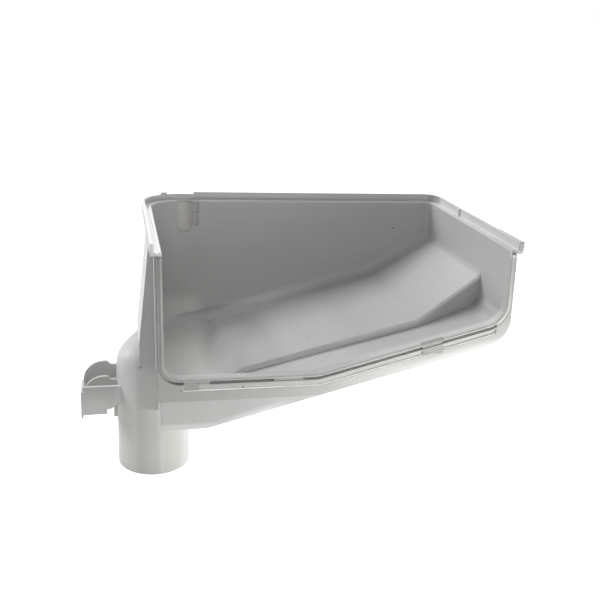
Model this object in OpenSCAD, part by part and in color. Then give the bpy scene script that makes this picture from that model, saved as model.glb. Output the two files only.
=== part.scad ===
// Dispenser hopper of a washing machine: one injection moulding.
// The tub is open at the top and at the front. Water and detergent run down the
// sloping floor to the sump at the left, and leave through the spigot below it.
// Origin: on the spigot's axis, at its lower end. +Z is up, the front faces -Y.
// Depths are measured down from the rim ledge.

/* [Tub] */
// Inner width of the tub at the rim
tub_w = 200; // [180:1:220]
// Inner depth of the tub, front to back
tub_d = 128; // [110:1:150]
// Wall thickness of the moulding
wall = 2; // [1.6:0.1:2.4]
// Inner face of the left wall, measured from the spigot's axis
tub_x = 1.6; // [0:0.1:3]
// Distance from the tub's front plane back to the spigot's axis
axis_back = 51.5; // [48:0.5:70]
// Radius of the rear left corner
rear_left_r = 20; // [12:1:26]
// Radius of the rear right corner
rear_right_r = 4; // [3:0.5:10]
// Lean of the right wall: it runs outwards on its way down, in degrees
right_lean = 3; // [0:0.5:4]
// Lean of the left wall: it runs inwards on its way down, in degrees
left_lean = 1; // [0:0.25:1.5]

/* [Floor] */
// Crease between main floor and ramp, measured from the left wall
crease_w = 158.5; // [140:0.5:165]
// Depth of the crease
crease_depth = 52; // [49:0.5:55]
// Slope of the main floor, in degrees
floor_slope = 14.4; // [12:0.1:16]
// Slope of the ramp at the right, in degrees
ramp_slope = 31; // [26:0.5:34]
// Width of the front channel, from the front plane back to the step
channel_w = 28; // [20:1:36]
// Turn of the step back along the ramp, in degrees
step_turn = 12.5; // [8:0.5:15]
// Drop from the main floor to the front channel, at the crease
channel_drop = 4.6; // [3:0.1:7]
// Slope of the front channel towards the sump, in degrees
channel_slope = 13.8; // [12:0.1:15]
// Fall of the front channel towards the front, in degrees
channel_fall = 4; // [2:0.5:5]
// Radius between the front channel and the right wall
channel_r = 10; // [4:0.5:12]
// Radius between the floors and the back wall
floor_r = 7; // [2:0.5:9]
// Radius between the ramp and the right wall
ramp_r = 4; // [1:0.5:6]

/* [Sump] */
// Depth of the sump's level floor
sump_depth = 104; // [98:0.5:110]
// Width of the sump's level floor
sump_w = 31; // [26:1:36]
// Width of the sump where it meets the main floor
sump_top_w = 45; // [41:1:52]
// Depth of the sump's rear slope at the back wall
sump_rear_depth = 83; // [82:0.5:88]
// Distance from the spigot's axis back to the foot of the rear slope
sump_rear_y = 22; // [21:1:30]
// Radius of the crest between sump and main floor
crest_r = 16; // [8:1:20]
// Radius between the sump's level floor and the rise to the main floor
sump_foot_r = 22; // [6:1:24]
// Radius at the foot of the rear slope
sump_rear_r = 6; // [3:0.5:8]

/* [Outlet] */
// Outer diameter of the spigot
spigot_d = 44.4; // [40:0.2:48]
// Wall thickness of the spigot
spigot_wall = 2.2; // [1.8:0.1:3]
// Length of the spigot below the sump
spigot_len = 44; // [30:0.5:60]
// Length of the spigot's lower part that takes the hose
hose_len = 30; // [20:1:30]
// Step above that part, a stop for the hose
shoulder_step = 0.3; // [0.3:0.1:1]
// Depth at which the shoulder above the spigot is widest
shoulder_depth = 77; // [75:0.5:80]
// Radius of the shoulder's edge
shoulder_r = 18; // [8:0.5:20]
// Depth at which the shoulder runs into the duct
duct_depth = 63; // [60:0.5:66]
// Reach of the duct beyond the spigot's axis at the shoulder
duct_low_w = 9.4; // [8:0.1:12]
// Reach of the duct beyond the spigot's axis at the rim
duct_top_w = 3.7; // [3.2:0.1:4.2]
// Depth of the lower end of the duct's front corner
duct_end_depth = 78.5; // [74:0.5:82]
// Height over which the duct's front runs back into the spigot
duct_foot_h = 9; // [6:0.5:12]
// Distance by which the duct's front runs back there
duct_foot_in = 2.8; // [2.4:0.1:4]
// Distance from the spigot's axis back to the duct's rear face
duct_back = 14; // [10:0.5:20]

/* [Rim] */
// Width of the rim ledge
ledge_w = 4.2; // [3.6:0.1:6]
// Thickness of the rim ledge
ledge_t = 2.2; // [1.8:0.1:3]
// Height of the outer lip above the ledge
lip_h = 4.8; // [3:0.1:7]
// Thickness of the outer lip
lip_t = 1.8; // [1.4:0.1:2.4]
// Width of the bead between tub and groove
bead_w = 1.7; // [1.4:0.1:2]
// Width of the groove in the ledge
groove_w = 0.9; // [0.7:0.1:1.1]
// Depth of the groove in the ledge
groove_depth = 1.2; // [0.8:0.1:1.4]
// Length of the lowered piece of the rear lip, from the left wall
low_lip_w = 29.7; // [28:0.1:45]
// Amount by which that piece is lower
low_lip_drop = 1.3; // [0.8:0.1:2]
// Thickness added to the right lip near its front end
thick_lip_t = 1.2; // [0.6:0.1:1.4]
// Length of the thickened piece of the right lip
thick_lip_w = 32; // [20:1:50]
// Distance by which the rim runs ahead of the tub's front plane
rim_ahead = 0.8; // [0:0.1:1.4]
// Distance from the spigot's axis back to the rib on the right lip
lip_rib_y = 34; // [20:1:50]
// Width of that rib
lip_rib_w = 2.4; // [1.6:0.1:3]
// Thickness of that rib
lip_rib_t = 1; // [0.6:0.1:1.4]
// Length of the nub on the lowered piece of the rear lip
nub_w = 4; // [2:0.5:6]
// Direction of the nub round the rear left corner, in degrees
nub_at = 115; // [100:1:160]

/* [Front flange] */
// Depth of the flange's inner edge
front_depth = 72.9; // [72:0.1:74.5]
// Distance from the left wall to the bend in the flange
bend_w = 89.3; // [80:0.1:100]
// Slope of the flange right of the bend, in degrees
front_slope = 14.8; // [14:0.1:16]
// Radius of the lower left corner
corner_left_r = 9; // [6:0.5:11]
// Radius of the lower right corner
corner_right_r = 14; // [8:0.5:16]
// Radius of the flange's outer edge at the lower left corner
corner_out_r = 3; // [1:0.5:4]
// Distance of the flange's front face ahead of the tub's front plane
flange_out = 2; // [1.5:0.1:3]
// Thickness of the flange, front to back
flange_t = 5; // [4.6:0.1:6]
// Width of the inner edge's end face on the left
left_edge_w = 1.6; // [1:0.1:2]
// Width of the groove on the left
left_slot_w = 1.9; // [1.6:0.1:2.4]
// Width of the inner edge's end face on the right
right_edge_w = 1.3; // [1:0.1:1.6]
// Width of the groove on the right
right_slot_w = 0.9; // [0.6:0.1:1.2]
// Thickness of the thin outer wall on the left and right
side_rib_t = 0.7; // [0.6:0.1:1]
// Width of the inner edge's end face along the bottom
low_edge_w = 1.2; // [0.8:0.1:1.4]
// Width of the groove along the bottom
low_slot_w = 1.6; // [1.2:0.1:2]
// Depth of the groove
slot_depth = 2.8; // [2:0.1:3.4]
// Distance from the left wall to the deep groove's right end
slot_end_w = 196.4; // [180:0.1:197]
// Depth of the groove from there on, up the right side
line_depth = 0.2; // [0.1:0.1:1]
// Thickness of the rib below the groove
low_rib_t = 0.9; // [0.7:0.1:1.6]
// Width of the recess below that rib
recess_w = 3; // [2.4:0.1:4]
// Depth of that recess
recess_depth = 1.1; // [1:0.1:3]
// Width of the flange's outer lip along the bottom
low_lip_t = 6.3; // [4:0.1:6.6]

/* [Apron] */
// Distance from the left wall to the end of the apron's level lower edge
apron_foot_w = 26.2; // [20:0.1:30]
// Slope of the apron's lower edge from there on, in degrees
apron_slope = 14.9; // [12:0.1:16]
// Distance from the left wall to the apron's right end
apron_w = 92.5; // [80:0.5:100]

/* [Catches] */
// Distance from the left wall to the left catch
catch_a_x = 12; // [11:0.5:16]
// Width of the left catch
catch_a_w = 14.6; // [12:0.1:20]
// Width of the left catch's lower half
catch_a_low_w = 8.6; // [6:0.1:10]
// Distance of the left catch's lower half behind the flange's face
catch_a_low_in = 0.7; // [0.5:0.1:0.9]
// Distance of the catches behind the flange's face
catch_in = 0.4; // [0.2:0.1:0.8]
// Distance from the left wall to the middle catch
catch_b_x = 63; // [50:0.5:66]
// Width of the middle catch
catch_b_w = 17; // [12:0.5:20]
// Height of the middle catch above the flange's inner edge
catch_b_h = 0.5; // [0:0.1:1]
// Distance from the left wall to the right catch
catch_c_x = 150.4; // [120:0.1:160]
// Width of the right catch
catch_c_w = 13; // [10:0.5:18]
// Height of the right catch above the flange's inner edge
catch_c_h = 1.4; // [1:0.1:3]

/* [Screw pocket] */
// Inner radius of the screw pocket in the back wall
pocket_r = 5.4; // [4.4:0.1:6]
// Distance from the back wall forward to the pocket's axis
pocket_in = 1.2; // [1.2:0.1:2]
// Distance from the left wall to the pocket's axis
pocket_x = 23.4; // [22:0.2:24]
// Depth of the pocket
pocket_depth = 22; // [14:0.5:26]
// Width of the latch slot beside the pocket
latch_w = 2.6; // [1:0.1:3]
// Distance from the pocket's axis to the latch slot
latch_x = 6.6; // [6.6:0.1:8]
// Depth of the latch slot's lower end
latch_depth = 17; // [12:0.5:20]
// Distance by which the latch slot reaches into the back wall
latch_in = 1.1; // [0.8:0.1:1.2]
// Depth of the bar across the latch slot
latch_bar_depth = 8.6; // [7:0.1:10]
// Height of that bar
latch_bar_h = 1.4; // [1:0.1:2]

/* [Hose clip] */
// Reach of the clip from the spigot's axis
clip_reach = 43.6; // [40:0.1:50]
// Thickness of the clip's plates
clip_t = 2; // [1.6:0.1:2.4]
// Width of the clip, front to back
clip_w = 20; // [16:0.5:26]
// Distance of the clip's lower edge below the sump's floor
clip_drop = 9.2; // [8:0.1:12]
// Distance by which the end wall stands out beyond the plates
clip_wall_out = 1.2; // [0.6:0.1:1.4]
// Height of the end wall
clip_wall_h = 14.6; // [13:0.1:15]
// Distance by which the end wall hangs below the plates
clip_hook = 2.2; // [1:0.1:3]
// Height of the front plate
clip_front_h = 18.2; // [16:0.1:19]
// Height of the middle plate's crown
clip_mid_h = 20.9; // [20:0.1:22]
// Height of the rear plate's crown
clip_rear_h = 27.1; // [25:0.1:29]
// Width of the plates' crown, from their outer end
clip_crown_w = 14.4; // [14:0.1:15]
// Step down from the crown towards the spigot
clip_step = 2.2; // [1:0.1:3]
// Radius of the arch at the plates' outer end
clip_arch_r = 12.4; // [8:0.1:13]
// Width of the cut in the front plate's lower corner
clip_notch_w = 8.6; // [6:0.1:10]
// Height of that cut at its outer end
clip_notch_h = 2.8; // [1.6:0.1:4]
// Width of the cut's low part
clip_notch_low_w = 2.9; // [2:0.1:4]
// Height of that cut at the end of its low part
clip_notch_mid_h = 3.6; // [3:0.1:5]
// Height of that cut at the spigot
clip_notch_top = 8; // [6:0.1:9]
// Height of the small rib on the spigot below the clip
tab_h = 6.4; // [4:0.1:8]
// Distance by which the small rib stands out from the spigot
tab_out = 2.2; // [1:0.1:3]

/* [Hidden] */
$fn = 96;
eps = 0.05;
hair = 0.002;
slack = 0.1;
far = 40;
beyond = 10;
plastic = "gainsboro";
left_x = tub_x;
right_x = tub_x + tub_w;
sump_z = spigot_len + wall;
rim_z = sump_z + sump_depth;
top_z = rim_z + lip_h;
open_z = top_z + 1;
ledge_z = rim_z - ledge_t;
front_y = -axis_back;
back_y = tub_d - axis_back;
face_y = front_y - flange_out;
apron_y = face_y + flange_t;
inner_y = apron_y + wall;
step_y = front_y + channel_w;
crease_x = left_x + crease_w;
crease_z = rim_z - crease_depth;
channel_z = crease_z - channel_drop;
crest_x = left_x + sump_top_w;
crest_z = crease_z - (crease_w - sump_top_w) * tan(floor_slope);
sump_foot_x = left_x + sump_w;
sump_rear_z = rim_z - sump_rear_depth;
front_z = rim_z - front_depth;
bend_x = left_x + bend_w;
spigot_r = spigot_d / 2;
bore_r = spigot_r - spigot_wall;
shoulder_z = rim_z - shoulder_depth;
duct_z = rim_z - duct_depth;
duct_end_z = rim_z - duct_end_depth;
rim_out = ledge_w + lip_t;
clip_z = sump_z - clip_drop;
clip_root = -sqrt(spigot_r * spigot_r - clip_w * clip_w / 4);
plate_x = clip_wall_out - clip_reach;

// x of the left and of the right wall, moved out by g, at height z
function left_at(z, g = 0) = left_x - g / cos(left_lean) + (rim_z - z) * tan(left_lean);
function right_at(z, g = 0) = right_x + g / cos(right_lean) + (rim_z - z) * tan(right_lean);
// z on a line of the given slope through (x0, z0)
function line_z(x, x0, z0, slope) = z0 + (x - x0) * tan(slope);
// x at which that line meets the right wall
function meet_x(x0, z0, slope, g = 0) =
    (right_at(z0, g) + x0 * tan(slope) * tan(right_lean))
    / (1 + tan(right_lean) * tan(slope));
function unit(v) = v / norm(v);

// Outline over x and z, drawn out along y from y0 to y1
module along_y(y0, y1) {
    translate([0, y1, 0]) rotate([90, 0, 0]) linear_extrude(y1 - y0) children();
}

// Outline over y and z, drawn out along x from x0 to x1
module along_x(x0, x1) {
    translate([x0, 0, 0]) rotate([90, 0, 90]) linear_extrude(x1 - x0) children();
}

// Polygon with true arcs at its convex corners; rounds holds [index, radius]
module rounded(pts, rounds) {
    n = len(pts);
    difference() {
        polygon(pts);
        for (c = rounds)
            corner_waste(pts[(c[0] + n - 1) % n], pts[c[0]], pts[(c[0] + 1) % n], c[1]);
    }
}

// The waste that an arc of radius r takes off the corner p between a and b. The arc
// is a hair larger, so that it crosses the two lines and doesn't only touch them
module corner_waste(a, p, b, r) {
    u = unit(a - p);
    v = unit(b - p);
    half = acos(u * v) / 2;
    t = r / tan(half);
    c = p + unit(u + v) * r / sin(half);
    difference() {
        polygon([p + u * t, p - unit(u + v), p + v * t, c]);
        translate(c) circle(r + hair);
    }
}

// The waste of the two rounded rear corners, standing along the leaning side walls
module rear_corners(g = 0) {
    h = rim_z + far;
    translate([left_at(rim_z, g), back_y + g, rim_z]) rotate([0, -left_lean, 0])
        translate([0, 0, -h]) linear_extrude(2 * h)
            corner_waste([0, -1], [0, 0], [1, 0], rear_left_r + g);
    translate([right_at(rim_z, g), back_y + g, rim_z]) rotate([0, -right_lean, 0])
        translate([0, 0, -h]) linear_extrude(2 * h)
            corner_waste([0, -1], [0, 0], [-1, 0], rear_right_r + g);
}

// Outline between the leaning side walls, moved out on the left and on the right
module walls_outline(left, right) {
    polygon([[left_at(0, left), 0], [right_at(0, right), 0],
             [right_at(open_z, right), open_z], [left_at(open_z, left), open_z]]);
}

// Outline of the space above main floor and ramp, moved out by g
module floor_outline(g = 0) {
    low = g / cos(floor_slope);
    steep = g / cos(ramp_slope);
    turn = (steep - low) / (tan(ramp_slope) - tan(floor_slope));
    end_x = right_x + beyond;
    polygon([[-beyond, open_z], [-beyond, crest_z - low], [crest_x, crest_z - low],
             [crease_x + turn, line_z(crease_x + turn, crease_x, crease_z - low, floor_slope)],
             [end_x, line_z(end_x, crease_x, crease_z - steep, ramp_slope)], [end_x, open_z]]);
}

// Sets its children on the front channel's floor, at the crease; g lowers them
module on_channel(g = 0) {
    translate([crease_x, step_y, channel_z - g / cos(channel_slope)])
        rotate([channel_fall, 0, 0]) rotate([0, -channel_slope, 0]) children();
}

// Space above the front channel's floor, from y0 back to the step, which lies at y1
// up to the crease; moved out by g
module channel(y0, y1, g = 0) {
    end_x = right_x + beyond;
    intersection() {
        translate([0, 0, sump_z]) linear_extrude(open_z - sump_z)
            polygon([[-beyond, y0], [end_x, y0],
                     [end_x, y1 + (end_x - crease_x) * tan(step_turn)],
                     [crease_x, y1], [-beyond, y1]]);
        on_channel(g) translate([-2 * tub_w, -tub_d, 0]) cube([4 * tub_w, 2 * tub_d, 2 * tub_w]);
    }
}

// Waste of the round between the front channel and the right wall
module channel_round() {
    reach = (meet_x(crease_x, channel_z, channel_slope) - crease_x) / cos(channel_slope);
    rise = 90 + right_lean - channel_slope;
    on_channel() along_y(-tub_d, tub_d)
        corner_waste([0, 0], [reach + slack, 0],
                     [reach + slack + cos(rise), sin(rise)], channel_r);
}

// Sump seen from the front, moved out by g
module sump_front(g = 0) {
    steep = atan2(crest_z - sump_z, crest_x - sump_foot_x);
    rounded([[-beyond, crest_z], [-beyond, sump_z - g],
             [sump_foot_x + g * tan(steep / 2), sump_z - g],
             [crest_x + g / sin(steep), crest_z]], [[2, sump_foot_r + g]]);
}

// Sump seen from the side, moved out by g
module sump_side(g = 0) {
    rise = atan2(sump_rear_z - sump_z, back_y - sump_rear_y);
    low = g / cos(rise);
    rounded([[inner_y - g, crest_z], [inner_y - g, sump_z - g],
             [sump_rear_y + g * tan(rise / 2), sump_z - g], [back_y, sump_rear_z - low],
             [back_y + g, sump_rear_z - low], [back_y + g, crest_z]],
            [[2, sump_rear_r + g]]);
}

module sump(g = 0) {
    intersection() {
        along_y(apron_y, back_y + wall) sump_front(g);
        along_x(-2 * beyond, crest_x + beyond) sump_side(g);
    }
}

// Arc under the crest between sump and main floor
module crest_waste() {
    along_y(step_y, back_y)
        corner_waste([sump_foot_x, sump_z], [crest_x, crest_z], [crease_x, crease_z], crest_r);
}

// Waste of the rounds between the floors and the back wall. It reaches down below the
// floors, so that it also stands on the rounded crest
module floor_rounds() {
    crest_h = crest_r / cos(floor_slope) - crest_r + wall;
    for (slope = [floor_slope, ramp_slope])
        translate([crease_x, back_y, crease_z]) rotate([0, -slope, 0])
            along_x(-tub_w, tub_w) {
                corner_waste([-1, 0], [0, 0], [0, 1], floor_r);
                translate([-floor_r, -crest_h]) square([floor_r + 1, crest_h + hair]);
            }
}

// Space above main floor and ramp, with the round between the ramp and the right wall
module floor_space() {
    ramp_x = meet_x(crease_x, crease_z, ramp_slope);
    along_y(step_y, back_y) difference() {
        floor_outline();
        corner_waste([crease_x, crease_z],
                     [ramp_x, line_z(ramp_x, crease_x, crease_z, ramp_slope)],
                     [right_at(open_z), open_z], ramp_r);
    }
}

// Outer body of tub and sump
module tub_body() {
    difference() {
        intersection() {
            union() {
                along_y(step_y, back_y + wall) floor_outline(wall);
                channel(apron_y, step_y + wall, wall);
                sump(wall);
            }
            along_y(apron_y, back_y + wall) walls_outline(wall, wall);
            cube([3 * tub_w, 3 * tub_d, 2 * ledge_z + 2 * eps], center = true);
        }
        rear_corners(wall);
    }
}

// Space inside tub and sump, with its mouth at the front
module tub_space() {
    union() {
        difference() {
            intersection() {
                union() {
                    floor_space();
                    difference() {
                        channel(inner_y, step_y + eps);
                        channel_round();
                    }
                    sump();
                    crest_waste();
                }
                along_y(inner_y, back_y) walls_outline(0, 0);
            }
            rear_corners();
            floor_rounds();
        }
        along_y(face_y - 1, inner_y + eps) front_outline();
    }
}

// Shoulder between spigot and duct, moved in by g
module shoulder(g = 0) {
    r = spigot_r + shoulder_step - g;
    top = duct_z - g / 2;
    rotate_extrude() rounded([[0, hose_len], [r, hose_len], [r, shoulder_z - g / 2],
                              [duct_low_w - g / 2, top], [0, top]],
                             [[2, shoulder_r - g]]);
}

// Duct up the left wall, moved in by g
module duct(g = 0) {
    along_y(g - spigot_r, duct_back - g)
        polygon([[left_x + wall, ledge_z], [g - duct_top_w, ledge_z],
                 [g - duct_low_w, duct_z], [g - duct_low_w, duct_end_z + g],
                 [left_x + wall, duct_end_z + g]]);
}

// Foot of the duct: its front runs back into the spigot
module duct_foot() {
    low_z = duct_end_z - duct_foot_h;
    along_x(-duct_low_w, left_x + wall)
        polygon([[-spigot_r, duct_end_z + eps], [0, duct_end_z + eps], [0, low_z],
                 [duct_foot_in - spigot_r, low_z], [-spigot_r, duct_end_z]]);
}

// Water way: bore, and the space in shoulder and duct beside the tub
module water_way() {
    translate([0, 0, -1]) cylinder(r = bore_r, h = sump_z + 1 + eps);
    intersection() {
        union() {
            shoulder(spigot_wall);
            duct(wall);
        }
        translate([-far, -far, sump_z]) cube([far + left_at(sump_z) + eps, 2 * far, rim_z]);
    }
}

// Outline of the front opening, moved out on the left, on the right and below
module front_outline(left = 0, right = 0, low = 0, left_r = corner_left_r) {
    slant = low / cos(front_slope);
    end_x = meet_x(bend_x, front_z - slant, front_slope, right);
    wide_x = right_x + beyond;
    turn = [bend_x + low * tan(front_slope / 2), front_z - low];
    end = [end_x, line_z(end_x, bend_x, front_z - slant, front_slope)];
    difference() {
        intersection() {
            walls_outline(left, right);
            polygon([[-beyond, open_z], [-beyond, front_z - low], turn,
                     [wide_x, line_z(wide_x, bend_x, front_z - slant, front_slope)],
                     [wide_x, open_z]]);
        }
        corner_waste([left_at(open_z, left), open_z],
                     [left_at(front_z - low, left), front_z - low], turn, left_r);
        corner_waste(turn, end, [right_at(open_z, right), open_z], corner_right_r + right);
    }
}

// Groove in the flange's face between two outlines
module face_groove(depth) {
    along_y(face_y - 1, face_y + depth) difference() {
        children(0);
        children(1);
    }
}

// The part of its children between two distances from the left wall
module face_part(w0, w1) {
    intersection() {
        children();
        translate([left_x + w0, -tub_d, 0]) cube([w1 - w0, tub_d, top_z]);
    }
}

module front_flange() {
    left_out = left_edge_w + left_slot_w;
    right_out = right_edge_w + right_slot_w;
    low_out = low_edge_w + low_slot_w;
    rib_low = low_out + low_rib_t;
    left_all = left_out + side_rib_t;
    right_all = right_out + side_rib_t;
    difference() {
        intersection() {
            along_y(face_y, apron_y)
                front_outline(left_all, right_all, rib_low + recess_w + low_lip_t, corner_out_r);
            cube([3 * tub_w, 3 * tub_d, 2 * ledge_z], center = true);
        }
        for (cut = [[line_depth, tub_w + rim_out], [slot_depth, slot_end_w]])
            face_part(-rim_out, cut[1]) face_groove(cut[0]) {
                front_outline(left_out, right_out, low_out, corner_left_r + left_out);
                front_outline(left_edge_w, right_edge_w, low_edge_w,
                              corner_left_r + left_edge_w);
            }
        face_part(catch_a_x, slot_end_w) face_groove(recess_depth) {
            front_outline(left_all + 1, right_all + 1, rib_low + recess_w,
                          corner_left_r + left_all);
            front_outline(left_all + 2, right_all + 2, rib_low, corner_left_r + left_all);
        }
        translate([left_x + catch_a_x, face_y - 1, front_z - rib_low - eps])
            cube([catch_a_w, recess_depth + 1, low_rib_t + eps]);
    }
}

// Apron below the flange: the sump's front, and a web under the channel
module apron() {
    low_z = sump_z - wall;
    foot_x = left_x + apron_foot_w;
    end_x = left_x + apron_w;
    end_z = line_z(end_x, foot_x, low_z, apron_slope);
    along_y(apron_y, inner_y)
        polygon([[left_at(front_z, wall), front_z], [left_at(low_z, wall), low_z],
                 [foot_x, low_z], [end_x, end_z], [end_x + front_z - end_z, front_z]]);
}

// A catch in the flange's grooves: h above the inner edge, low below it, and its
// face set back behind the flange's
module catch_block(x, w, h, low, back = catch_in) {
    slope = x > bend_w ? front_slope : 0;
    z = x > bend_w ? line_z(left_x + x, bend_x, front_z, front_slope) : front_z;
    translate([left_x + x, face_y + back, z]) rotate([0, -slope, 0])
        translate([0, 0, -low]) cube([w, flange_t - back, low + h]);
}

module catches() {
    slot = low_edge_w + low_slot_w;
    deep = slot + low_rib_t + recess_w + eps;
    catch_block(catch_a_x, catch_a_w, 0, slot + low_rib_t / 4);
    catch_block(catch_a_x, catch_a_low_w, 0, deep, catch_a_low_in);
    catch_block(catch_b_x, catch_b_w, catch_b_h, slot + low_rib_t / 2);
    catch_block(catch_c_x, catch_c_w, catch_c_h, deep);
}

// Plan of the rim, moved out by g, open at the front
module rim_plan(g) {
    intersection() {
        rounded([[left_x - g, front_y - far], [right_x + g, front_y - far],
                 [right_x + g, back_y + g], [left_x - g, back_y + g]],
                [[3, rear_left_r + g], [2, rear_right_r + g]]);
        translate([left_x - far, front_y - rim_ahead - (g < rim_out ? 1 : 0)])
            square([tub_w + 2 * far, tub_d + 2 * far]);
    }
}

// Rim: ledge and outer lip on the left, rear and right sides
module rim() {
    rib_x = right_x + ledge_w;
    difference() {
        translate([0, 0, ledge_z]) linear_extrude(ledge_t + lip_h) rim_plan(rim_out);
        translate([0, 0, rim_z]) linear_extrude(lip_h + 1) rim_plan(ledge_w);
        translate([0, 0, rim_z - groove_depth]) linear_extrude(groove_depth + 1) difference() {
            rim_plan(bead_w + groove_w);
            rim_plan(bead_w);
        }
        translate([left_x - rim_out - 1, back_y - rear_left_r, top_z - low_lip_drop])
            cube([low_lip_w + rim_out + 1, rear_left_r + rim_out + 1, lip_h]);
    }
    translate([right_x + rim_out - eps, front_y - rim_ahead, ledge_z])
        cube([thick_lip_t + eps, thick_lip_w, ledge_t + lip_h]);
    translate([rib_x - lip_rib_t, lip_rib_y - lip_rib_w / 2, rim_z - eps])
        cube([lip_rib_t + eps, lip_rib_w, lip_h + eps]);
    translate([left_x + rear_left_r, back_y - rear_left_r, top_z - low_lip_drop - eps])
        rotate([0, 0, nub_at]) translate([rear_left_r + ledge_w, -nub_w / 2, 0])
            cube([lip_t, nub_w, low_lip_drop + eps]);
}

// Screw pocket: half-round outside the back wall, with a ball-shaped end
module pocket(g = 0) {
    h = pocket_depth - pocket_r;
    translate([left_x + pocket_x, back_y - pocket_in, rim_z - h]) {
        cylinder(r = pocket_r + g, h = g > 0 ? h - eps : h + lip_h);
        sphere(r = pocket_r + g);
    }
}

// Latch slot beside the pocket, with a bar across it
module latch_slot() {
    x = left_x + pocket_x + latch_x;
    low = rim_z - latch_depth;
    bar = rim_z - latch_bar_depth;
    translate([x, back_y - 1, low]) cube([latch_w, latch_in + 1, bar - latch_bar_h - low]);
    translate([x, back_y - 1, bar]) cube([latch_w, latch_in + 1, latch_bar_depth + 1]);
}

// Plate of the hose clip with an arched crown, standing at y
module clip_plate(y, crown_h) {
    crown_z = clip_z + crown_h;
    crown_x = plate_x + clip_crown_w;
    along_y(y, y + clip_t)
        rounded([[plate_x, clip_z], [clip_root, clip_z], [clip_root, crown_z - clip_step],
                 [crown_x + clip_step, crown_z - clip_step], [crown_x, crown_z],
                 [plate_x, crown_z]], [[5, clip_arch_r]]);
}

// Front plate of the hose clip, with the cut in its lower corner
module clip_front() {
    notch_x = clip_root - clip_notch_w;
    along_y(-clip_w / 2, clip_t - clip_w / 2)
        polygon([[plate_x, clip_z], [notch_x, clip_z], [notch_x, clip_z + clip_notch_h],
                 [notch_x + clip_notch_low_w, clip_z + clip_notch_mid_h],
                 [clip_root, clip_z + clip_notch_top], [clip_root, clip_z + clip_front_h],
                 [plate_x, clip_z + clip_front_h]]);
}

module hose_clip() {
    clip_front();
    clip_plate(-clip_t / 2, clip_mid_h);
    clip_plate(clip_w / 2 - clip_t, clip_rear_h);
    translate([-clip_reach, -clip_w / 2, clip_z]) cube([clip_t, clip_w, clip_wall_h]);
    translate([-clip_reach, -clip_w / 2, clip_z - clip_hook])
        cube([clip_wall_out, clip_w, clip_hook + eps]);
    translate([-spigot_r - tab_out, -clip_t / 2, clip_z - tab_h])
        cube([tab_out + spigot_wall / 2, clip_t, tab_h + eps]);
}

module hopper() {
    color(plastic) difference() {
        union() {
            tub_body();
            cylinder(r = spigot_r, h = sump_z);
            shoulder();
            duct();
            duct_foot();
            rim();
            pocket(wall);
            front_flange();
            apron();
            catches();
            hose_clip();
        }
        tub_space();
        water_way();
        pocket();
        latch_slot();
    }
}

hopper();
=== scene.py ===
"""Looks of the dispenser hopper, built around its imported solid.

Lengths are in metres, unless a comment says mm.
"""

import math

import bmesh
import bpy
from mathutils import Matrix, Vector

MM = 0.001

# camera, from the photograph's perspective
CAMERA_PLACE = Vector((-0.02337, -0.46385, 0.26744))
CAMERA_AZIMUTH = math.radians(13.75)
CAMERA_ELEVATION = math.radians(18.89)
CAMERA_ROLL = math.radians(3.31)
CAMERA_LENS = 48.5
SENSOR_WIDTH = 36
NEAREST_SEEN, FARTHEST_SEEN = 0.01, 20

# studio: an even grey light, and white paper with painted light on it: the grey it shows where light falls
# on it goes darker with the distance
WORLD_STRENGTH = 0.19
FLOOR_SIZE = 3
FLOOR_GLOW = 1.0
PAPER_DISTANCES = (0.25, 0.8)
PAPER_SHADES = (0.75, 0.4)

# lamps: name, place, what it faces, width and height, watts, and the cone of its light in degrees
LAMPS = (
    ("top", (-0.05, 0.6, 1.25), (0.06, 0.0, 0.09), (0.8, 0.8), 9.6, 180),
    ("window", (-1.0, 0.4, 0.5), (0.0, 0.0, 0.1), (0.4, 0.4), 4.9, 180),
    ("sump_fill", (-0.08, -0.4, 0.42), (0.045, 0.04, 0.06), (0.1, 0.1), 0.006, 28),
    ("pipe_side", (0.16, 0.03, 0.02), (0.0, 0.0, 0.02), (0.05, 0.04), 0.02, 180),
    ("bounce_right", (0.22, -0.15, 0.012), (0.13, -0.05, 0.09), (0.2, 0.08), 0.44, 180),
)

# plastic: colour, and how far its cloudiness, shine and grain go
PLASTIC_COLOUR = (0.66, 0.66, 0.655)
PLASTIC_IOR = 1.49
CLOUD_SCALE, CLOUD_DETAIL = 28, 4
CLOUD_SHADES = (0.965, 1.03)
SHINE_SCALE, SHINE_DETAIL = 140, 3
SHINE_ROUGHNESS = (0.36, 0.48)
GRAIN_SCALE, GRAIN_DETAIL = 1800, 3
GRAIN_STRENGTH = 0.12
GRAIN_DEPTH = 0.05 * MM
EDGE_RADIUS = 0.9 * MM
EDGE_SAMPLES = 8

# where a Mix node of each kind keeps its factor, first value, second value and result
MIX_SOCKETS = {"RGBA": (0, 6, 7, 2), "VECTOR": (0, 4, 5, 1)}

# directions square to the flange's sloping lower outline, the tub's main floor and the ramp beside it
DIRECTIONS = {
    "across_slope": (-0.257, 0.0, 0.966),
    "across_floor": (-0.25, 0.0, 0.97),
    "across_ramp": (-0.515, 0.0, 0.857),
}

# where the recess's step, the apron's edge, the floor and the ramp lie along those directions, in mm
STEP_EDGE = 44.4
APRON_EDGE = 36.7
FLOOR_LEVEL = 55.1
RAMP_LEVEL = 1.55

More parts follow.
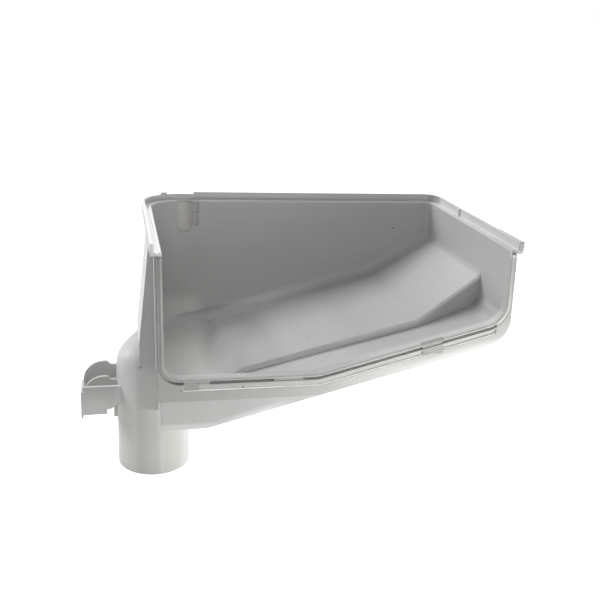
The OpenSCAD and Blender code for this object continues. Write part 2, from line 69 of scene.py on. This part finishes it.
# A span is a measure with two values. Its factor goes softly from 0 at the first to 1 at the second.
# x, y, z, from_axis and the across_ measures are in mm. The facing_ measures are the surface's direction.
FRONT = ("facing_y", -0.7, -0.9)
ABOUT_FRONT = ("facing_y", -0.5, -0.8)
NOT_REAR = ("facing_y", 0.3, 0.1)
UPWARD = ("facing_z", 0.3, 0.6)
RATHER_UPWARD = ("facing_z", 0.2, 0.5)
NOT_DOWNWARD = ("facing_z", -0.1, 0.0)
INSIDE_TUB = ("y", -50, -49)
BELOW_DRAWER = ("z", 126, 125)
APRON_FRONT = ("y", -47, -48)
STEP_FRONT = ("y", -29, -27)
LOW_FLOOR = (("z", 88, 74), ("y", -50, -44), ("x", -1, 5), ("facing_y", 0.3, 0.0), NOT_DOWNWARD)
PIPE = (("from_axis", 22.8, 22.4), ("z", 60, 45))
RIGHT_CATCH = (("x", 151.8, 152.2), ("x", 165.8, 165.4), ("z", 87.2, 87.8), ("y", -49.5, -50))

# places on the hopper: each is where all its spans hold
PLACES = {
    "flange face": (("y", -51, -53.5),),
    "recess step": (("facing_z", 0.5, 0.8), ("y", -51.9, -52.1)),
    "level step": (("x", 92.5, 91.5), ("z", 72, 71)),
    "sloping step": (("x", 91.3, 92.3), ("across_slope", STEP_EDGE + 1.8, STEP_EDGE + 1.4)),
    "recess": (("y", -52.9, -52.7), ("y", -52.1, -52.3), ("x", 95, 130), FRONT),
    "catches": (("y", -53.3, -53.2), ("y", -52.9, -53.0), FRONT),
    "catch foot": (("y", -52.95, -52.85), ("y", -52.65, -52.75), FRONT),
    "rim": (("z", 148.4, 149.4),),
    "left ledge": (("z", 147.6, 148.6), ("x", 10, 4), ("y", 62, 50), ("facing_x", -0.9, -0.5)),
    "lower end": (("z", 75, 20),),
    "pipe left": (*PIPE, ("x", -15, -21.5)),
    "pipe right": (*PIPE, ("x", -3, 6), ("x", 21, 14)),
    "pipe end": (*PIPE, ("x", -19, -9), ("x", 7, 0), ("z", 40, 5)),
    "pocket": (("y", 76.7, 77.3), ("x", 32, 31), ("x", 18.5, 19.5), ("z", 126, 127), ("z", 148.4, 147.6),
               NOT_REAR),
    "right catch": RIGHT_CATCH,
    "right catch front": (*RIGHT_CATCH, ("facing_z", 0.3, 0.1)),
    "shoulder": (("x", -9, -13), ("x", -26, -20), ("z", 84, 74)),
    "duct": (("x", 0, -0.5), ("x", -16, -14), FRONT, ("z", 66, 76)),
    "apron edge": (("across_slope", APRON_EDGE + 3.5, APRON_EDGE - 0.5), ("x", 22, 50), ("x", 85, 60),
                   APRON_FRONT),
    "sump": (*LOW_FLOOR, ("x", 44, 28)),
    "sump crest": (*LOW_FLOOR, ("x", 40, 52), ("x", 86, 64), ("y", 66, 48), RATHER_UPWARD),
    "floor foot": (*LOW_FLOOR, ("x", 38, 45), ("x", 68, 57), ("y", 35, 18), RATHER_UPWARD),
    "funnel": (("x", 85, 48), ("z", 88, 70), ("y", -50, -44), ("x", -1, 5), ("facing_z", 0.1, 0.3)),
    "rear fillet": (("across_floor", FLOOR_LEVEL + 6, FLOOR_LEVEL + 1), ("x", 34, 46), ("x", 115, 80),
                    ("y", 58, 67), NOT_REAR, NOT_DOWNWARD),
    "floor step": (ABOUT_FRONT, STEP_FRONT, ("y", -9, -12), ("x", 35, 45), ("x", 190, 140)),
    "floor edge": (ABOUT_FRONT, STEP_FRONT, ("y", -10, -12), ("x", 95, 125)),
    "under floor": (("across_floor", FLOOR_LEVEL - 3.5, FLOOR_LEVEL - 0.5),),
    "under ramp": (("across_ramp", RAMP_LEVEL - 3.5, RAMP_LEVEL - 0.5),),
    "right floor": (("x", 105, 130), UPWARD, INSIDE_TUB, BELOW_DRAWER),
    "channel end": (("x", 120, 150), UPWARD, INSIDE_TUB, ("y", -24, -26)),
    "channel front": (("x", 105, 130), UPWARD, ("y", -50.5, -49.5), ("y", -36, -45), BELOW_DRAWER),
    "lip corner": (("x", 199, 203), ("y", 66, 72), ("z", 149.5, 150), ("facing_z", 0.5, 0.3)),
    "lip end": (("x", 199, 200), ("y", -50, -51.5), ("z", 145.5, 146.5), ("z", 150, 149)),
    "left lip": (("x", -3.5, -4.2), ("z", 147.5, 148.5), ("facing_x", -0.5, -0.8)),
    "apron foot": (("z", 48.5, 46), APRON_FRONT, ("x", 45, 25)),
    "flange band": (("across_slope", 39.5, 42.5), ("y", -53.3, -53.45), ("x", 120, 160), ("z", 120, 105)),
    "left slot": (("y", -51.5, -51.2), ("y", -50.2, -50.5), ("x", 13, 8), ("z", 73, 80), ABOUT_FRONT),
}

# painted light and shade of single places, as factors of the plastic's colour, laid on in this order
PAINTED_LIGHT_AND_SHADE = (
    ("flange face", (0.86, 0.85, 0.83)),
    ("recess step", (1.6, 1.6, 1.6)),
    ("recess", (0.74, 0.74, 0.74)),
    ("catches", (0.8, 0.8, 0.79)),
    ("catch foot", (0.8, 0.8, 0.79)),
    ("rim", (1.25, 1.25, 1.25)),
    ("left ledge", (1.5, 1.5, 1.5)),
    ("lower end", (1.2, 1.195, 1.17)),
    ("pipe left", (0.84, 0.84, 0.84)),
    ("pipe right", (0.85, 0.845, 0.82)),
    ("pipe end", (1.13, 1.13, 1.12)),
    ("pocket", (1.25, 1.23, 1.17)),
    ("right catch", (0.6, 0.6, 0.59)),
    ("shoulder", (1.17, 1.17, 1.17)),
    ("duct", (0.84, 0.84, 0.85)),
    ("apron edge", (1.35, 1.35, 1.35)),
    ("sump", (1.35, 1.35, 1.35)),
    ("sump crest", (0.77, 0.77, 0.77)),
    ("floor foot", (0.87, 0.87, 0.87)),
    ("rear fillet", (1.2, 1.2, 1.2)),
    ("floor step", (1.42, 1.42, 1.42)),
    ("right floor", (0.88, 0.88, 0.88)),
    ("channel end", (0.9, 0.9, 0.9)),
    ("channel front", (1.35, 1.35, 1.35)),
    ("floor edge", (1.6, 1.6, 1.6)),
    ("lip corner", (0.62, 0.62, 0.61)),
    ("lip end", (1.5, 1.5, 1.5)),
    ("left lip", (0.75, 0.75, 0.75)),
    ("apron foot", (1.3, 1.3, 1.3)),
    ("flange band", (0.75, 0.75, 0.74)),
    ("left slot", (1.45, 1.45, 1.43)),
)

# weak glow of the edges that catch the light: on the recess step it grows to the right, along a span
STEP_GLINT = (0.75, 0.9)
STEP_GLINT_GROWS = ("x", 90, 160)
GLINTS = (("left ledge", 0.12), ("floor edge", 0.06))

# places that take the light as if they faced another way: the sump as one soft funnel, the recess step as a
# rounded edge, and the right catch's front flat over the fine step across it
TURNED_PLACES = (
    ("funnel", (-0.3, -0.35, 0.89)),
    ("recess step", (0.0, -0.8, 0.6)),
    ("right catch front", (0.0, -1.0, 0.0)),
)

# small dark spots: centre and radius in mm, and shade
MARK_CORE = 0.6
MARKS = (
    ((47.1, -52.4, 71.0), 0.9, 0.55),
    ((66.4, -53.1, 75.4), 0.8, 0.6),
    ((12.1, -53.5, 70.8), 0.8, 0.65),
    ((22.1, -53.1, 74.4), 0.8, 0.6),
    ((175.0, 76.5, 130.8), 1.1, 0.6),
    ((95.5, -7.7, 81.4), 1.0, 0.6),
    ((195.8, 0.3, 119.4), 0.8, 0.85),
    ((-9.0, -22.2, 72.2), 1.0, 0.55),
)

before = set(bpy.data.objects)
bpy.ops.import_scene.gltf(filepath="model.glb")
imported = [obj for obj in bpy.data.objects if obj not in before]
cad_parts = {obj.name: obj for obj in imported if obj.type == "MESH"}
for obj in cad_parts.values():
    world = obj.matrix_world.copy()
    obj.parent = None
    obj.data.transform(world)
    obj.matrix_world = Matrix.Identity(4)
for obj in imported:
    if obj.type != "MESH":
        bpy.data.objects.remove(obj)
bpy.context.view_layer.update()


def make_camera():
    """Camera at the photograph's place, with its tilt and its slight roll."""
    sin_a, cos_a = math.sin(CAMERA_AZIMUTH), math.cos(CAMERA_AZIMUTH)
    sin_e, cos_e = math.sin(CAMERA_ELEVATION), math.cos(CAMERA_ELEVATION)
    ahead = Vector((sin_a * cos_e, cos_a * cos_e, -sin_e))
    level = Vector((cos_a, -sin_a, 0))
    upright = level.cross(ahead)
    right = level * math.cos(CAMERA_ROLL) + upright * math.sin(CAMERA_ROLL)
    up = right.cross(ahead)
    data = bpy.data.cameras.new("camera")
    data.lens = CAMERA_LENS
    data.sensor_width = SENSOR_WIDTH
    data.clip_start, data.clip_end = NEAREST_SEEN, FARTHEST_SEEN
    camera = bpy.data.objects.new("camera", data)
    turn = Matrix((right, up, -ahead)).transposed().to_4x4()
    camera.matrix_world = Matrix.Translation(CAMERA_PLACE) @ turn
    bpy.context.scene.collection.objects.link(camera)
    bpy.context.scene.camera = camera


def area_light(name, place, target, size, watts, cone):
    """Soft light of the given width and height at place, facing target, within a cone in degrees."""
    data = bpy.data.lights.new(name, "AREA")
    data.shape = "RECTANGLE"
    data.size, data.size_y = size
    data.energy = watts
    data.spread = math.radians(cone)
    light = bpy.data.objects.new(name, data)
    light.visible_camera = False
    place, target = Vector(place), Vector(target)
    light.location = place
    light.rotation_mode = "QUATERNION"
    light.rotation_quaternion = (place - target).to_track_quat("Z", "Y")
    bpy.context.scene.collection.objects.link(light)


def seen_directly(nodes, links):
    """1 for what the camera, a reflection or a refraction sees, and 0 for what lights the object."""
    path = nodes.new("ShaderNodeLightPath")
    either = nodes.new("ShaderNodeMath")
    either.operation = "MAXIMUM"
    links.new(path.outputs["Is Camera Ray"], either.inputs[0])
    links.new(path.outputs["Is Glossy Ray"], either.inputs[1])
    both = nodes.new("ShaderNodeMath")
    both.operation = "MAXIMUM"
    links.new(either.outputs[0], both.inputs[0])
    links.new(path.outputs["Is Transmission Ray"], both.inputs[1])
    return both.outputs[0]


def make_world():
    """White behind the object, and an even grey light all round it."""
    world = bpy.data.worlds.new("studio")
    bpy.context.scene.world = world
    world.use_nodes = True
    nodes, links = world.node_tree.nodes, world.node_tree.links
    nodes.clear()
    light = nodes.new("ShaderNodeBackground")
    light.inputs["Strength"].default_value = WORLD_STRENGTH
    white = nodes.new("ShaderNodeBackground")
    mix = nodes.new("ShaderNodeMixShader")
    out = nodes.new("ShaderNodeOutputWorld")
    for background in (light, white):
        background.inputs["Color"].default_value = (1, 1, 1, 1)
    links.new(seen_directly(nodes, links), mix.inputs["Fac"])
    links.new(light.outputs[0], mix.inputs[1])
    links.new(white.outputs[0], mix.inputs[2])
    links.new(mix.outputs[0], out.inputs["Surface"])


def make_floor():
    """White floor at the spigot's lower end. It glows for the camera alone, so only the shadow shows."""
    bm = bmesh.new()
    bmesh.ops.create_grid(bm, x_segments=1, y_segments=1, size=FLOOR_SIZE)
    mesh = bpy.data.meshes.new("floor")
    bm.to_mesh(mesh)
    bm.free()
    floor = bpy.data.objects.new("floor", mesh)
    bpy.context.scene.collection.objects.link(floor)
    material = bpy.data.materials.new("floor_white")
    material.use_nodes = True
    nodes, links = material.node_tree.nodes, material.node_tree.links
    nodes.clear()
    matte = nodes.new("ShaderNodeBsdfDiffuse")
    # painted light on the paper: its grey goes darker away from the floor's middle, under the object
    place = nodes.new("ShaderNodeTexCoord")
    away = nodes.new("ShaderNodeVectorMath")
    away.operation = "LENGTH"
    paper = nodes.new("ShaderNodeMapRange")
    paper.interpolation_type = "SMOOTHSTEP"
    paper.inputs["From Min"].default_value, paper.inputs["From Max"].default_value = PAPER_DISTANCES
    paper.inputs["To Min"].default_value, paper.inputs["To Max"].default_value = PAPER_SHADES
    links.new(place.outputs["Object"], away.inputs[0])
    links.new(away.outputs["Value"], paper.inputs["Value"])
    links.new(paper.outputs["Result"], matte.inputs["Color"])
    light = nodes.new("ShaderNodeEmission")
    light.inputs["Strength"].default_value = FLOOR_GLOW
    shine = nodes.new("ShaderNodeMixShader")
    none = nodes.new("ShaderNodeEmission")
    none.inputs["Strength"].default_value = 0
    both = nodes.new("ShaderNodeAddShader")
    out = nodes.new("ShaderNodeOutputMaterial")
    links.new(seen_directly(nodes, links), shine.inputs["Fac"])
    links.new(none.outputs[0], shine.inputs[1])
    links.new(light.outputs[0], shine.inputs[2])
    links.new(matte.outputs[0], both.inputs[0])
    links.new(shine.outputs[0], both.inputs[1])
    links.new(both.outputs[0], out.inputs["Surface"])
    mesh.materials.append(material)


def make_plastic():
    """Satin moulded plastic, with cloudiness, uneven shine, grain, soft edges, dark spots, painted glints,
    and painted light and shade of single places.
    """
    material = bpy.data.materials.new("moulded_plastic")
    material.use_nodes = True
    nodes, links = material.node_tree.nodes, material.node_tree.links
    plastic = nodes["Principled BSDF"]
    place = nodes.new("ShaderNodeTexCoord")
    geometry = nodes.new("ShaderNodeNewGeometry")

    def join(socket, value):
        """Link an output to a socket, or set a plain value on it."""
        if isinstance(value, bpy.types.NodeSocket):
            links.new(value, socket)
        else:
            socket.default_value = value

    def vector_math(operation, *values):
        node = nodes.new("ShaderNodeVectorMath")
        node.operation = operation
        for socket, value in zip(node.inputs, values):
            join(socket, value)
        return node.outputs

    def parts(vector):
        """The three components of a vector."""
        node = nodes.new("ShaderNodeSeparateXYZ")
        links.new(vector, node.inputs["Vector"])
        return node.outputs

    def noise(scale, detail):
        node = nodes.new("ShaderNodeTexNoise")
        node.inputs["Scale"].default_value = scale
        node.inputs["Detail"].default_value = detail
        links.new(place.outputs["Object"], node.inputs["Vector"])
        return node.outputs["Fac"]

    def spread(value, low, high):
        """A value from 0 to 1, taken to low at 0 and high at 1."""
        node = nodes.new("ShaderNodeMapRange")
        node.inputs["To Min"].default_value = low
        node.inputs["To Max"].default_value = high
        links.new(value, node.inputs["Value"])
        return node.outputs["Result"]

    def ramp(value, start, end):
        """0 before start and 1 beyond end, with a soft passage between."""
        node = nodes.new("ShaderNodeMapRange")
        node.interpolation_type = "SMOOTHSTEP"
        node.inputs["From Min"].default_value = start
        node.inputs["From Max"].default_value = end
        links.new(value, node.inputs["Value"])
        return node.outputs["Result"]

    def combined(operation, *factors):
        """The factors taken together two by two, from left to right."""
        result = factors[0]
        for factor in factors[1:]:
            node = nodes.new("ShaderNodeMath")
            node.operation = operation
            links.new(result, node.inputs[0])
            links.new(factor, node.inputs[1])
            result = node.outputs[0]
        return result

    def mix(kind, factor, first, second, mode="MIX"):
        """The first value where factor is 0, and the second, mixed in by mode, where it is 1."""
        node = nodes.new("ShaderNodeMix")
        node.data_type = kind
        node.blend_type = mode
        *ends, result = MIX_SOCKETS[kind]
        for index, value in zip(ends, (factor, first, second)):
            join(node.inputs[index], value)
        return node.outputs[result]

    # the measures that the spans name
    spot = vector_math("SCALE", place.outputs["Object"])[0]
    spot.node.inputs["Scale"].default_value = 1 / MM
    level_spot = vector_math("MULTIPLY", spot, (1.0, 1.0, 0.0))[0]
    measures = dict(zip(("x", "y", "z"), parts(spot)))
    measures.update(zip(("facing_x", "facing_y", "facing_z"), parts(geometry.outputs["True Normal"])))
    measures["from_axis"] = vector_math("LENGTH", level_spot)["Value"]
    for name, direction in DIRECTIONS.items():
        measures[name] = vector_math("DOT_PRODUCT", spot, direction)["Value"]
    passages = {}

    def within(*spans):
        """1 where all the spans hold, and 0 where one doesn't. Spans that places share are made once."""
        for span in spans:
            if span not in passages:
                measure, start, end = span
                passages[span] = ramp(measures[measure], start, end)
        return combined("MULTIPLY", *(passages[span] for span in spans))

    places = {name: within(*spans) for name, spans in PLACES.items()}
    step_parts = combined("MAXIMUM", places["level step"], places["sloping step"])
    places["recess step"] = combined("MULTIPLY", places["recess step"], step_parts)
    near_edge = combined("MINIMUM", places["under floor"], places["under ramp"])
    places["floor edge"] = combined("MULTIPLY", places["floor edge"], near_edge)

    # colour: cloudiness, then painted light and shade of single places, then the small dark spots
    cloud_low, cloud_high = ((*(part * shade for part in PLASTIC_COLOUR), 1) for shade in CLOUD_SHADES)
    colour = mix("RGBA", noise(CLOUD_SCALE, CLOUD_DETAIL), cloud_low, cloud_high)

    def tint(factor, shade):
        shaded = mix("RGBA", 1.0, colour, (*shade, 1.0), "MULTIPLY")
        shaded.node.clamp_result = True
        return mix("RGBA", factor, colour, shaded)

    for name, shade in PAINTED_LIGHT_AND_SHADE:
        colour = tint(places[name], shade)
    for centre, radius, shade in MARKS:
        away = vector_math("DISTANCE", spot, centre)["Value"]
        colour = tint(ramp(away, radius, radius * MARK_CORE), (shade, shade, shade))
    links.new(colour, plastic.inputs["Base Color"])

    # glints
    glint = combined("MULTIPLY", places["recess step"], spread(within(STEP_GLINT_GROWS), *STEP_GLINT))
    for name, strength in GLINTS:
        glint = combined("ADD", glint, spread(places[name], 0.0, strength))
    links.new(glint, plastic.inputs["Emission Strength"])
    plastic.inputs["Emission Color"].default_value = (1.0, 1.0, 1.0, 1.0)

    # shine
    links.new(spread(noise(SHINE_SCALE, SHINE_DETAIL), *SHINE_ROUGHNESS), plastic.inputs["Roughness"])
    plastic.inputs["IOR"].default_value = PLASTIC_IOR

    # soft edges, turned places and grain
    soft_edge = nodes.new("ShaderNodeBevel")
    soft_edge.samples = EDGE_SAMPLES
    soft_edge.inputs["Radius"].default_value = EDGE_RADIUS
    normal = soft_edge.outputs["Normal"]
    for name, facing in TURNED_PLACES:
        normal = mix("VECTOR", places[name], normal, facing)
    grain = nodes.new("ShaderNodeBump")
    links.new(vector_math("NORMALIZE", normal)[0], grain.inputs["Normal"])
    grain.inputs["Strength"].default_value = GRAIN_STRENGTH
    grain.inputs["Distance"].default_value = GRAIN_DEPTH
    links.new(noise(GRAIN_SCALE, GRAIN_DETAIL), grain.inputs["Height"])
    links.new(grain.outputs["Normal"], plastic.inputs["Normal"])
    return material


bpy.context.scene.view_settings.view_transform = "Standard"
make_camera()
make_world()
make_floor()
for lamp in LAMPS:
    area_light(*lamp)

plastic = make_plastic()
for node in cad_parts.values():
    for slot in node.material_slots:
        slot.material = plastic
